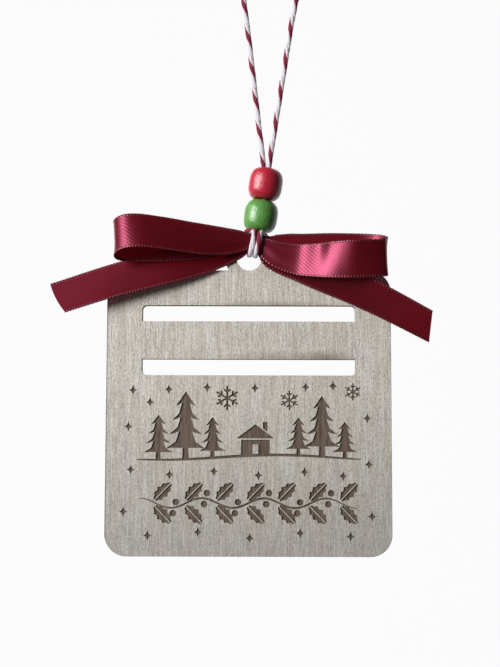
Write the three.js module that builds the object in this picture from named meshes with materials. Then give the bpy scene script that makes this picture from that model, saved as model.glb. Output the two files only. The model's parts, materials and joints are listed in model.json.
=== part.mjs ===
// Cash holder ornament: a laser-cut wooden tag that carries a folded banknote in two slots, tied with a
// ribbon bow and two beads on a doubled cord. Millimetres, +Z up, the front faces -Y.
// The origin is where a hook bears on the cord, inside the top of the loop.
import * as THREE from "three";

// Tag
const TAG_WIDTH = 100;
const TAG_HEIGHT = 100;
const TAG_THICKNESS = 3;
const TAG_CORNER = 7.7;
const SLOT_MARGIN = 12.5; // wood left beside each slot
const SLOT_HEIGHT = 5.6;
const SLOT_CORNER = 1.6; // only the corners away from the bar are rounded
const UPPER_SLOT_DROP = 12.5; // top edge of the tag to the upper slot
const BAR_HEIGHT = 13.4; // bar between the slots, which the banknote goes behind
const HOLE_RADIUS = 4.4;
const LUG_RADIUS = 8.3;
const HOLE_RISE = 4.4; // hole's middle above the tag's top edge

// Beads
const BEAD_DIAMETER = 12.4;
const BEAD_HEIGHT = 11.4;
const BEAD_FULLNESS = 3.1; // power of the rounded side: 2 is an ellipse, more is squarer
const BEAD_MOUTH = 0.4; // width of the flat ring round each end of the bore
const BEAD_SEAT = 1.9; // lower bead above the lug's top, held up by the cord

// Cord
const CORD_DIAMETER = 1.8;
const CORD_SIDES = 8;
const STRAND_DRIFT = -0.65; // cord beside the beads' axis at the top of the stack
const STRAND_SPREAD = 2.9; // cord beside the legs where it goes over the lug
const LOOP_HEIGHT = 104.5; // hole's middle to where the hook bears
const LOOP_OFFSET = 7.2; // hook to the right of the hole
const LOOP_SPAN = 18.8; // legs apart where the arch begins
const KNOT_LENGTH = 5;
const KNOT_DIAMETER = 5.8;
const KNOT_TURN = 42; // degrees round the arch from its top

// Ribbon
const RIBBON_WIDTH = 12.7;
const RIBBON_THICKNESS = 0.35;
const WAIST_WIDTH = 4; // gathered width under the cord
const WAIST_FLARE = 0.9; // room under the waist for the ribbon's widening beside it
const WAIST_X = 2.3;
const WAIST_Z = 5.8;
const PLEAT_DEPTH = 0.3;
const PLEAT_REACH = 6; // waist to the deepest part of the pleats
const LEFT_CUT = 11; // degrees that each tail's end is cut away from square
const RIGHT_CUT = 20;

// Clearances
const CLEARANCE = 0.2; // between pieces that touch
const LAYER_GAP = 0.3; // between layers of the folded ribbon
const STRAND_GAP = 0.2; // between two strands of cord side by side
const BEAD_GAP = 0.3; // between the two beads
const KNOT_CLEARANCE = 0.7; // round the cord inside its knot

// The bead stack and the hitch lean to the right and stand beside the hole's middle
const STACK_LEAN = THREE.MathUtils.degToRad(8.5);
const STACK_OFFSET = 1.57;

const cordRadius = CORD_DIAMETER / 2;
const strandOffset = (CORD_DIAMETER + STRAND_GAP) / 2;
const beadBore = 2 * (strandOffset + Math.abs(STRAND_DRIFT) + cordRadius + CLEARANCE);
const vec = (x, y, z) => new THREE.Vector3(x, y, z);
const square = (a) => a * a;

const wood = new THREE.MeshStandardMaterial({ color: 0xb8b0a4, roughness: 0.75, metalness: 0 });
const greenPaint = new THREE.MeshStandardMaterial({ color: 0x5c9c4a, roughness: 0.35, metalness: 0 });
const redPaint = new THREE.MeshStandardMaterial({ color: 0xbf2f42, roughness: 0.35, metalness: 0 });
const satin = new THREE.MeshStandardMaterial({ color: 0x66161f, roughness: 0.4, metalness: 0 });
const twine = new THREE.MeshStandardMaterial({ color: 0xc9a3ac, roughness: 0.85, metalness: 0 });

// Ring-by-ring skin of a swept form, closed by a fan at each end
function loft(rings) {
  const count = rings[0].length;
  const last = (rings.length - 1) * count;
  const index = [];
  for (let r = 0; r + 1 < rings.length; r++) {
    for (let i = 0; i < count; i++) {
      const a = r * count + i;
      const b = r * count + ((i + 1) % count);
      index.push(a, b, a + count, b, b + count, a + count);
    }
  }
  for (let i = 1; i + 1 < count; i++) {
    index.push(0, i + 1, i, last, last + i, last + i + 1);
  }
  const geometry = new THREE.BufferGeometry().setFromPoints(rings.flat());
  geometry.setIndex(index);
  geometry.computeVertexNormals();
  return geometry;
}

// Round cord along a list of points
function cordAlong(points, steps) {
  const section = new THREE.Shape();
  for (let i = 0; i < CORD_SIDES; i++) {
    const turn = (2 * Math.PI * i) / CORD_SIDES;
    const [x, y] = [cordRadius * Math.cos(turn), cordRadius * Math.sin(turn)];
    if (i === 0) section.moveTo(x, y);
    else section.lineTo(x, y);
  }
  section.closePath();
  const extrudePath = new THREE.CatmullRomCurve3(points);
  return new THREE.ExtrudeGeometry(section, { steps, extrudePath, bevelEnabled: false });
}

// Tag, drawn round the hole's middle in the X-Z plane
function tagGeometry() {
  const ARC_STEPS = 10;
  const side = TAG_WIDTH / 2;
  const top = -HOLE_RISE;
  const bottom = top - TAG_HEIGHT;
  const lugX = Math.sqrt(square(LUG_RADIUS) - square(HOLE_RISE));
  const lugStart = Math.atan2(top, lugX);
  const quarter = Math.PI / 2;

  const outline = new THREE.Shape();
  outline.moveTo(-side, bottom + TAG_CORNER);
  outline.absarc(-side + TAG_CORNER, bottom + TAG_CORNER, TAG_CORNER, 2 * quarter, 3 * quarter);
  outline.absarc(side - TAG_CORNER, bottom + TAG_CORNER, TAG_CORNER, 3 * quarter, 4 * quarter);
  outline.absarc(side - TAG_CORNER, top - TAG_CORNER, TAG_CORNER, 0, quarter);
  outline.lineTo(lugX, top);
  outline.absarc(0, 0, LUG_RADIUS, lugStart, quarter);
  outline.absarc(0, 0, LUG_RADIUS, quarter, Math.PI - lugStart);
  outline.absarc(-side + TAG_CORNER, top - TAG_CORNER, TAG_CORNER, quarter, 2 * quarter);
  outline.closePath();

  const hole = new THREE.Path();
  hole.absarc(0, 0, HOLE_RADIUS, 0, Math.PI);
  hole.absarc(0, 0, HOLE_RADIUS, Math.PI, 2 * Math.PI);
  outline.holes.push(hole);

  // Each slot's edge along the bar has sharp corners, and its far edge has round ones
  const barTop = top - UPPER_SLOT_DROP - SLOT_HEIGHT;
  const slotX = side - SLOT_MARGIN;
  for (const [barEdge, away] of [[barTop, 1], [barTop - BAR_HEIGHT, -1]]) {
    const far = barEdge + away * SLOT_HEIGHT;
    const turn = away * quarter;
    const slot = new THREE.Path();
    slot.moveTo(-slotX, barEdge);
    slot.lineTo(slotX, barEdge);
    slot.absarc(slotX - SLOT_CORNER, far - away * SLOT_CORNER, SLOT_CORNER, 0, turn, away < 0);
    slot.absarc(SLOT_CORNER - slotX, far - away * SLOT_CORNER, SLOT_CORNER, turn, 2 * turn, away < 0);
    slot.closePath();
    outline.holes.push(slot);
  }

  const settings = { depth: TAG_THICKNESS, bevelEnabled: false, curveSegments: ARC_STEPS };
  return new THREE.ExtrudeGeometry(outline, settings).rotateX(quarter).translate(0, TAG_THICKNESS / 2, 0);
}

// Barrel bead with its bore along Z, its lower end at z = 0
function beadGeometry() {
  const PROFILE_STEPS = 16;
  const TURN_STEPS = 36;
  const radius = BEAD_DIAMETER / 2;
  const mouth = beadBore / 2 + BEAD_MOUTH;
  const drawnIn = Math.pow(1 - Math.pow(mouth / radius, BEAD_FULLNESS), 1 / BEAD_FULLNESS);
  const crown = BEAD_HEIGHT / 2 / drawnIn; // half height of the side's curve, past the flat end
  const end = Math.asin(Math.pow(drawnIn, BEAD_FULLNESS / 2));
  const profile = [new THREE.Vector2(beadBore / 2, -BEAD_HEIGHT / 2)];
  for (let i = 0; i <= PROFILE_STEPS; i++) {
    const turn = end * ((2 * i) / PROFILE_STEPS - 1);
    const r = radius * Math.pow(Math.cos(turn), 2 / BEAD_FULLNESS);
    const z = crown * Math.sign(turn) * Math.pow(Math.abs(Math.sin(turn)), 2 / BEAD_FULLNESS);
    profile.push(new THREE.Vector2(r, z));
  }
  profile.push(new THREE.Vector2(beadBore / 2, BEAD_HEIGHT / 2));
  profile.push(profile[0].clone());
  const lathe = new THREE.LatheGeometry(profile, TURN_STEPS);
  return lathe.rotateX(Math.PI / 2).translate(0, 0, BEAD_HEIGHT / 2);
}

// Depths of the ribbon's three layers at the waist, counted out from the lug's front
const layerDepth = (layer) =>
  -(TAG_THICKNESS / 2 + CLEARANCE + RIBBON_THICKNESS * (layer + 0.5) + LAYER_GAP * layer);
const waistFront = layerDepth(2) - RIBBON_THICKNESS / 2;

// Bow route from the left tail's end to the right tail's end, in hundredths of the ribbon's width. Each stop
// gives the strip's middle from the waist's, its layer, how far it bulges forward of that layer, how far it
// opens from the waist's width, 0, to the full width, 1, and how far its upper edge slants to the right and
// tips forward, in degrees.
const bowRoute = [
  { x: -546, z: -162, layer: 0, bulge: 20, open: 1, slant: 22, tip: -18 },
  { x: -396, z: -113, layer: 0, bulge: 17, open: 1, slant: 17, tip: -17 },
  { x: -246, z: -72, layer: 0, bulge: 13, open: 0.99, slant: 15, tip: -13 },
  { x: -144, z: -45, layer: 0, bulge: 6, open: 0.87, slant: 13, tip: -6 },
  { x: -57, z: -19, layer: 0, bulge: 1, open: 0.5, slant: 9, tip: 0 },
  { x: 0, z: 0, layer: 0, bulge: 0, open: 0, slant: 4, tip: 0 },
  { x: 45, z: -17, layer: 0, bulge: 0, open: 0.61, slant: 2, tip: 0 },
  { x: 100, z: -27, layer: 0, bulge: 2, open: 0.96, slant: 0, tip: 0 },
  { x: 218, z: -28, layer: 0, bulge: 7, open: 1, slant: 0, tip: 2 },
  { x: 305, z: -31, layer: 0, bulge: 13, open: 1, slant: 0, tip: 4 },
  { x: 341, z: -36, layer: 0, bulge: 26, open: 1, slant: -2, tip: 5 },
  { x: 358, z: -45, layer: 0, bulge: 46, open: 1, slant: -2, tip: 5 },
  { x: 354, z: -53, layer: 2, bulge: 59, open: 1, slant: -2, tip: 5 },
  { x: 336, z: -57, layer: 2, bulge: 68, open: 1, slant: -1, tip: 5 },
  { x: 305, z: -59, layer: 2, bulge: 74, open: 1, slant: 0, tip: 6 },
  { x: 268, z: -61, layer: 2, bulge: 76, open: 1, slant: 2, tip: 7 },
  { x: 234, z: -61, layer: 2, bulge: 67, open: 0.99, slant: 3, tip: 2 },
  { x: 202, z: -60, layer: 2, bulge: 53, open: 0.95, slant: 4, tip: -5 },
  { x: 171, z: -58, layer: 2, bulge: 35, open: 0.92, slant: 5, tip: -11 },
  { x: 139, z: -56, layer: 2, bulge: 22, open: 0.86, slant: 7, tip: -11 },
  { x: 116, z: -53, layer: 2, bulge: 15, open: 0.8, slant: 8, tip: -9 },
  { x: 61, z: -38, layer: 2, bulge: 7, open: 0.6, slant: 10, tip: -4 },
  { x: 25, z: -17, layer: 2, bulge: 2, open: 0.3, slant: 6, tip: 0 },
  { x: 0, z: 0, layer: 2, bulge: 0, open: 0, slant: 4, tip: 0 },
  { x: -38, z: -1, layer: 2, bulge: 2, open: 0.36, slant: -3, tip: 0 },
  { x: -89, z: -2, layer: 2, bulge: 13, open: 0.67, slant: -5, tip: -8 },
  { x: -160, z: 2, layer: 2, bulge: 31, open: 0.92, slant: -6, tip: -17 },
  { x: -254, z: 13, layer: 2, bulge: 56, open: 1, slant: -6, tip: -22 },
  { x: -317, z: 18, layer: 2, bulge: 69, open: 1, slant: -5, tip: -23 },
  { x: -358, z: 16, layer: 2, bulge: 65, open: 1, slant: -4, tip: -21 },
  { x: -382, z: 8, layer: 2, bulge: 50, open: 1, slant: -4, tip: -19 },
  { x: -388, z: 0, layer: 2, bulge: 33, open: 1, slant: -4, tip: -17 },
  { x: -380, z: -6, layer: 1, bulge: 24, open: 1, slant: -3, tip: -14 },
  { x: -357, z: -9, layer: 1, bulge: 16, open: 1, slant: -2, tip: -12 },
  { x: -302, z: -10, layer: 1, bulge: 13, open: 1, slant: 0, tip: -9 },
  { x: -191, z: -9, layer: 1, bulge: 8, open: 0.87, slant: 0, tip: -3 },
  { x: -81, z: -5, layer: 1, bulge: 2, open: 0.43, slant: 0, tip: 0 },
  { x: 0, z: 0, layer: 1, bulge: 0, open: 0, slant: 10, tip: 0 },
  { x: 51, z: -37, layer: 1, bulge: 0, open: 0.72, slant: 18, tip: 0 },
  { x: 142, z: -71, layer: 1, bulge: 7, open: 0.94, slant: 25, tip: 7 },
  { x: 242, z: -117, layer: 1, bulge: 22, open: 1, slant: 26, tip: 30 },
  { x: 344, z: -168, layer: 1, bulge: 29, open: 1, slant: 27, tip: 40 },
  { x: 480, z: -240, layer: 1, bulge: 31, open: 1, slant: 26, tip: 46 },
];

function acrossAt({ slant, tip }) {
  const [lean, nod] = [THREE.MathUtils.degToRad(slant), THREE.MathUtils.degToRad(tip)];
  return vec(Math.sin(lean) * Math.cos(nod), -Math.sin(nod), Math.cos(lean) * Math.cos(nod));
}

// Slope of the cut at an end of the strip, fading out over the ribbon's width
function cutSlope(degrees, fromEnd) {
  return Math.tan(THREE.MathUtils.degToRad(degrees)) * Math.max(0, 1 - fromEnd / RIBBON_WIDTH);
}

// Ribbon as one strip, gathered where it passes the waist and pleated beside it
function bowGeometry() {
  const STEPS = 124;
  const CUTS = 4; // strips across the ribbon
  const unit = RIBBON_WIDTH / 100;
  const middle = new THREE.CatmullRomCurve3(
    bowRoute.map(({ x, z, layer, bulge }) =>
      vec(WAIST_X + unit * x, layerDepth(layer) - unit * bulge, WAIST_Z + unit * z)),
  );
  const across = new THREE.CatmullRomCurve3(bowRoute.map(acrossAt));
  const opening = new THREE.SplineCurve(bowRoute.map(({ open }) => new THREE.Vector2(open, 0)));
  const stripLength = middle.getLength();
  const rings = [];
  for (let step = 0; step <= STEPS; step++) {
    const t = middle.getUtoTmapping(step / STEPS);
    const point = middle.getPoint(t);
    const along = middle.getTangent(t);
    const up = across.getPoint(t);
    up.addScaledVector(along, -up.dot(along)).normalize();
    const face = up.clone().cross(along).multiplyScalar(RIBBON_THICKNESS / 2);
    const fromWaist = Math.abs(point.x - WAIST_X);
    const open = Math.min(1, opening.getPoint(t).x);
    const width = WAIST_WIDTH + (RIBBON_WIDTH - WAIST_WIDTH) * open;
    const reach = square(fromWaist / PLEAT_REACH);
    const pleat = PLEAT_DEPTH * reach * Math.exp(1 - reach);
    const run = stripLength * (step / STEPS);
    const skew = cutSlope(LEFT_CUT, run) + cutSlope(RIGHT_CUT, stripLength - run);
    const edgeToEdge = [];
    for (let i = 0; i <= CUTS; i++) {
      const share = i / CUTS - 0.5;
      const fold = (pleat * (1 + Math.cos(Math.PI * CUTS * share))) / 2;
      const aside = up.clone().addScaledVector(along, -skew).multiplyScalar(width * share);
      edgeToEdge.push(point.clone().add(aside).add(vec(0, -fold, 0)));
    }
    const front = edgeToEdge.map((p) => p.clone().add(face));
    const back = edgeToEdge.map((p) => p.clone().sub(face)).reverse();
    rings.push([...front, ...back]);
  }
  return loft(rings);
}

// The hitch, in the leaning frame of the bead stack, whose X and Z run from the foot of the stack's axis.
// Two strands cross the front of the bow's waist, go over the lug's top and join in a bight behind the legs.
// The legs come through the hole, rise behind the lug and enter the beads.
const holeX = -STACK_OFFSET * Math.cos(STACK_LEAN);
const holeZ = STACK_OFFSET * Math.sin(STACK_LEAN);
const legDepth = TAG_THICKNESS / 2 + CLEARANCE + cordRadius;
const frontDepth = waistFront - CLEARANCE - cordRadius;
const bightDepth = legDepth + CORD_DIAMETER + STRAND_GAP;
const stackFoot = LUG_RADIUS + BEAD_SEAT;
const stackTop = stackFoot + 2 * BEAD_HEIGHT + BEAD_GAP;
const overLug = (x) => holeZ + Math.sqrt(square(LUG_RADIUS + CLEARANCE + cordRadius) - square(x - holeX));
const underLug = (x) => holeZ + Math.sqrt(square(HOLE_RADIUS - CLEARANCE - cordRadius) - square(x - holeX));

function hitchHalf(side) {
  const leg = side * strandOffset;
  const inHole = leg + holeX / 3;
  const beside = leg + side * STRAND_SPREAD;
  const waistFoot = WAIST_Z - WAIST_WIDTH / 2 - WAIST_FLARE - CLEARANCE - cordRadius;
  return [
    vec(leg + STRAND_DRIFT, legDepth, stackTop),
    vec(leg + STRAND_DRIFT / 2, legDepth, stackFoot + BEAD_HEIGHT),
    vec(leg, legDepth, stackFoot),
    vec(leg, legDepth, stackFoot - 2.6),
    vec(leg, legDepth, stackFoot - 5.2),
    vec(inHole, legDepth - 0.3, underLug(inHole)),
    vec(inHole, 0.6, underLug(inHole) - 0.7),
    vec(inHole, layerDepth(1), waistFoot - 1.1),
    vec(inHole + 0.2, frontDepth + 0.05, waistFoot),
    vec(leg, frontDepth - 0.1, WAIST_Z - 0.8),
    vec(leg, frontDepth, WAIST_Z + 1.6),
    vec(leg, frontDepth + 0.3, overLug(leg) - 0.6),
    vec(leg + side * 0.8, layerDepth(0), overLug(leg) - 0.05),
    vec(leg + side * 2.6, 0.1, overLug(beside) + 0.1),
    vec(beside, legDepth - 0.2, overLug(beside) - 0.2),
    vec(beside - side * 0.8, bightDepth - 0.55, overLug(beside) - 0.5),
  ];
}

function hitchGeometry() {
  const STEPS = 110;
  const left = hitchHalf(-1);
  const right = hitchHalf(1).reverse();
  const bight = vec(0, bightDepth, (left.at(-1).z + right[0].z) / 2 - 0.1);
  return cordAlong([...left, bight, ...right], STEPS);
}

// A point of the leaning stack, seen from the hole's middle
function fromStack(x, y, z) {
  return vec(x, y, z).applyAxisAngle(vec(0, 1, 0), STACK_LEAN).add(vec(STACK_OFFSET, 0, 0));
}

// Free loop: two legs that part above the red bead and an arch over the hook
const archRadius = LOOP_SPAN / 2;
const archMiddle = vec(LOOP_OFFSET, 0, LOOP_HEIGHT + cordRadius - archRadius);

function archPoint(turn) {
  return archMiddle.clone().add(vec(archRadius * Math.sin(turn), 0, archRadius * Math.cos(turn)));
}

function loopLeg(side) {
  const LEG_POINTS = 5;
  const beside = side * strandOffset + STRAND_DRIFT;
  const foot = fromStack(beside, legDepth, stackTop + CLEARANCE);
  const parting = fromStack(beside, legDepth, stackTop + CLEARANCE + cordRadius);
  const shoulder = archPoint((side * Math.PI) / 2);
  const points = [foot];
  for (let i = 0; i < LEG_POINTS; i++) {
    points.push(parting.clone().lerp(shoulder, i / LEG_POINTS));
  }
  return points;
}

function loopGeometry() {
  const STEPS = 64;
  const ARCH_STEPS = 8;
  const arch = [];
  for (let i = 0; i <= ARCH_STEPS; i++) {
    arch.push(archPoint(Math.PI * (i / ARCH_STEPS - 0.5)));
  }
  return cordAlong([...loopLeg(-1), ...arch, ...loopLeg(1).reverse()], STEPS);
}

// Knot as a rounded lump round the cord, its bore along Z
function knotGeometry() {
  const PROFILE_STEPS = 8;
  const TURN_STEPS = 20;
  const bore = cordRadius + KNOT_CLEARANCE;
  const profile = [];
  for (let i = 0; i <= PROFILE_STEPS; i++) {
    const turn = Math.PI * (i / PROFILE_STEPS - 0.5);
    const r = bore + (KNOT_DIAMETER / 2 - bore) * Math.cos(turn);
    profile.push(new THREE.Vector2(r, (KNOT_LENGTH / 2) * Math.sin(turn)));
  }
  profile.push(profile[0].clone());
  return new THREE.LatheGeometry(profile, TURN_STEPS).rotateX(Math.PI / 2);
}

function piece(name, geometry, material) {
  const mesh = new THREE.Mesh(geometry, material);
  mesh.name = name;
  return mesh;
}

const stack = new THREE.Group();
stack.position.x = STACK_OFFSET;
stack.rotation.y = STACK_LEAN;
const greenBead = piece("green_bead", beadGeometry(), greenPaint);
greenBead.position.set(0, legDepth, stackFoot);
const redBead = piece("red_bead", beadGeometry(), redPaint);
redBead.position.set(0, legDepth, stackFoot + BEAD_HEIGHT + BEAD_GAP);
stack.add(greenBead, redBead, piece("hitch_cord", hitchGeometry(), twine));

const knotTurn = THREE.MathUtils.degToRad(KNOT_TURN);
const knot = piece("loop_knot", knotGeometry(), twine);
knot.position.copy(archPoint(knotTurn));
knot.rotation.y = knotTurn + Math.PI / 2;

// Pieces are placed from the hole's middle, and the whole is moved so that the hook is at the origin
const ornament = new THREE.Group();
ornament.position.set(-LOOP_OFFSET, 0, -LOOP_HEIGHT);
ornament.add(
  piece("tag_plate", tagGeometry(), wood),
  piece("ribbon_bow", bowGeometry(), satin),
  stack,
  piece("hanging_loop", loopGeometry(), twine),
  knot,
);

const cashHolder = new THREE.Group();
cashHolder.add(ornament);

export default cashHolder;
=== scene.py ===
# Cash holder ornament: the looks of a laser-cut wooden tag with a satin bow, painted beads and twisted cord.
# The ornament's sizes are in millimetres from the middle of the tag's hole, +Z up, and the front faces -Y.
# The floor's and the lamps' are in metres.
import json
import math

import bmesh
import bpy
from mathutils import Matrix, Vector


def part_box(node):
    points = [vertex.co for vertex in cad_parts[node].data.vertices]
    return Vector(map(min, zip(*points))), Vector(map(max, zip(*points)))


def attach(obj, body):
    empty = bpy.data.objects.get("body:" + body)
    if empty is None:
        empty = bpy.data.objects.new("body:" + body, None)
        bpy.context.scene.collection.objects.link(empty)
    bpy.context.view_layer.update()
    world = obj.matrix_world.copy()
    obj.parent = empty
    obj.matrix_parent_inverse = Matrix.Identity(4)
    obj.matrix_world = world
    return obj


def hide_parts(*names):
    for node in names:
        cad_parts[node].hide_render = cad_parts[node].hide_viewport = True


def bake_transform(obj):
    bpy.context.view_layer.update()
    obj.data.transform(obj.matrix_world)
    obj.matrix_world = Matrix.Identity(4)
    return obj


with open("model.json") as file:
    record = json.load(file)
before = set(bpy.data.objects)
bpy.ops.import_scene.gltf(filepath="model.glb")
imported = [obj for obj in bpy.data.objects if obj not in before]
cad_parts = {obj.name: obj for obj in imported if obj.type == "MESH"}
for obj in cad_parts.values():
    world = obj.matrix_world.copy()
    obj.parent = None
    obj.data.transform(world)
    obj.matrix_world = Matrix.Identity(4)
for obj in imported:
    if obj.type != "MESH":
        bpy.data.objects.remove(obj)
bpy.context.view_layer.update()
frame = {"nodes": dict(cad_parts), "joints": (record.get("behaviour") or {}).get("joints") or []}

MM = 0.001
MERGE_DISTANCE = 0.001 * MM
joints = {joint["name"]: joint for joint in frame["joints"]}
hole = Vector(joints["tag_swing"]["pos_m"])
stack_up = Vector(joints["red_bead_slide"]["axis"]).normalized()
tag_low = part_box("tag_plate")[0]

# Camera, fitted to the photograph's frame
PHOTO_HEIGHT_PX = 667
FOCAL_PX = 1193.6
SENSOR = 36
CAMERA_DISTANCE = 420
CAMERA_PITCH = 5.03
CAMERA_ROLL = -0.16
CAMERA_AIM = (0.485, -1.5, -26.79)

# Tag
TAG_THICKNESS = 3
HOLE_RADIUS = 4.4
LUG_RADIUS = 8.3
EDGE_BEVEL = 0.15
ENGRAVE_DEPTH = 0.4
# Heights, in mm, where the painted shade on the tag's face starts and where it is darkest
SHADE_TOP, SHADE_FOOT = -45, -104
# Width, in mm, of the thin dark line along the tag's left edge
LEFT_EDGE_LINE_WIDTH = 0.6
# Smoke stains of the laser at the slots' upper edges: each one's middle, reach, rise and strength
SMOKE_STAINS = ((27, -35.9, 11.5, 3.9, 0.68), (11, -35.9, 27, 3.4, 0.45), (8, -16.9, 26, 2, 0.5))

# Gaps between pieces
CLEARANCE = 0.2
STRAND_GAP = 0.2
BEAD_GAP = 0.3

# Beads, threaded on a stack that leans to the right beside the hole's middle
BEAD_DIAMETER = 12.4
BEAD_HEIGHT = 11.4
BEAD_FULLNESS = 3.1
BEAD_MOUTH = 0.4
BEAD_SEAT = 1.9
STACK_LEAN = math.radians(8.5)
STACK_OFFSET = 1.57

# Cord: two white plies and a burgundy one laid together, in a loop with a knot beside its top. Each stretch
# has a phase, in radians, that its twist starts from. A spread is how wide a ply lies, in radii of the cord.
CORD_DIAMETER = 1.8
TWIST_LENGTH = 11.6
HITCH_TWIST_LENGTH = 14
LOOP_PHASE = 0.5
HITCH_PHASE = 5.4
KNOT_PHASE = 0.2
WHITE_SPREAD = 0.72
BURGUNDY_SPREAD = 0.86
HITCH_BURGUNDY_SPREAD = 0.92
STRAND_DRIFT = -0.65
STRAND_SPREAD = 2.9
LOOP_HEIGHT = 104.5
LOOP_OFFSET = 7.2
LOOP_SPAN = 18.8
KNOT_TURN = math.radians(42)

# Ribbon
RIBBON_WIDTH = 12.7
RIBBON_THICKNESS = 0.3
WAIST_WIDTH = 4
WAIST_FLARE = 0.9
WAIST_X = 2.3
WAIST_Z = 5.8
PLEAT_DEPTH = 0.3
PLEAT_REACH = 6
LEFT_CUT = 11
RIGHT_CUT = 20
LEFT_CUT_CURVE = 0.65
LAYER_DEPTHS = (-1.875, -2.525, -3.175)
WAIST_FRONT = -3.35
STITCH_SPACING = 1.05

cord_radius = CORD_DIAMETER / 2
strand_offset = (CORD_DIAMETER + STRAND_GAP) / 2
bead_bore = 2 * (strand_offset + abs(STRAND_DRIFT) + cord_radius + CLEARANCE)


def placed(x, y, z):
    """A point given in mm from the hole's middle, in the frame's metres."""
    return hole + Vector((x, y, z)) * MM


def stacked(x, y, z):
    """A point of the leaning bead stack, in mm, seen from the hole's middle."""
    turn = Matrix.Rotation(STACK_LEAN, 3, "Y")
    return turn @ Vector((x, y, z)) + Vector((STACK_OFFSET, 0, 0))


def spline(points, t):
    """A point on the smooth curve through points, with t counted in points."""
    i = min(int(t), len(points) - 2)
    b, c = points[i], points[i + 1]
    a = points[i - 1] if i else 2 * b - c
    d = points[i + 2] if i + 2 < len(points) else 2 * c - b
    ab, bc, cd = (max((q - p).length, 1e-4) ** 0.5 for p, q in ((a, b), (b, c), (c, d)))
    start = ((b - a) / ab - (c - a) / (ab + bc) + (c - b) / bc) * bc
    end = ((c - b) / bc - (d - b) / (bc + cd) + (d - c) / cd) * bc
    s = t - i
    square, cube = s * s, s * s * s
    return (b * (2 * cube - 3 * square + 1) + start * (cube - 2 * square + s)
            + c * (3 * square - 2 * cube) + end * (cube - square))


def even_stops(points, count):
    """Values of t that cut the curve through points into equal lengths, and the curve's length."""
    FINE = 40
    fine = [i / FINE for i in range(FINE * (len(points) - 1) + 1)]
    run = [0.0]
    for t, following in zip(fine, fine[1:]):
        run.append(run[-1] + (spline(points, following) - spline(points, t)).length)
    stops, j = [], 0
    for i in range(count + 1):
        want = run[-1] * i / count
        while j < len(run) - 2 and run[j + 1] < want:
            j += 1
        share = (want - run[j]) / (run[j + 1] - run[j])
        stops.append(fine[j] + share / FINE)
    return stops, run[-1]


def path_through(points, step):
    """Points about a step apart along the smooth curve through points."""
    length = even_stops(points, 1)[1]
    stops = even_stops(points, max(2, round(length / step)))[0]
    return [spline(points, t) for t in stops]


def new_piece(name, mesh, materials, body=None):
    """An object of a mesh, with its materials, that rides on a body."""
    piece = bpy.data.objects.new(name, mesh)
    bpy.context.scene.collection.objects.link(piece)
    for material in materials:
        mesh.materials.append(material)
    if body:
        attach(piece, body)
    return piece


def mesh_of(bm, name, smooth=True):
    """Turns a bmesh into a mesh, with its faces made smooth or left as they are."""
    mesh = bpy.data.meshes.new(name)
    if smooth:
        for face in bm.faces:
            face.smooth = True
    bm.to_mesh(mesh)
    bm.free()
    return mesh


def close_tubes(bm):
    """Joins rolled-up grids along their seams, caps their ends and turns their faces outwards."""
    bmesh.ops.remove_doubles(bm, verts=bm.verts, dist=MERGE_DISTANCE)
    bmesh.ops.holes_fill(bm, edges=[edge for edge in bm.edges if edge.is_boundary])
    bmesh.ops.recalc_face_normals(bm, faces=bm.faces)


# Materials

def hex_colour(code):
    """Linear RGBA of an sRGB hex colour."""
    channels = [int(code[i:i + 2], 16) / 255 for i in (1, 3, 5)]
    return [c / 12.92 if c <= 0.04045 else ((c + 0.055) / 1.055) ** 2.4 for c in channels] + [1]


def add(tree, kind, inputs=None, **settings):
    """Adds a node with its settings, and sets or links its inputs."""
    node = tree.nodes.new("ShaderNode" + kind)
    for name, value in settings.items():
        setattr(node, name, value)
    for socket, value in (inputs or {}).items():
        if isinstance(value, bpy.types.NodeSocket):
            tree.links.new(value, node.inputs[socket])
        else:
            node.inputs[socket].default_value = value
    return node


def new_material(name, **shader):
    """A material, its node tree and its Principled shader, whose sockets are set by name."""
    material = bpy.data.materials.new(name)
    material.use_nodes = True
    tree = material.node_tree
    principled = tree.nodes["Principled BSDF"]
    for name_of, value in shader.items():
        socket = name_of.replace("_", " ").title().replace("Ior", "IOR")
        principled.inputs[socket].default_value = value
    return material, tree, principled


def per_mm(x, y, z):
    """Mapping scale that makes one unit of a pattern x, y and z mm long."""
    return (1 / (x * MM), 1 / (y * MM), 1 / (z * MM))


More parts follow.
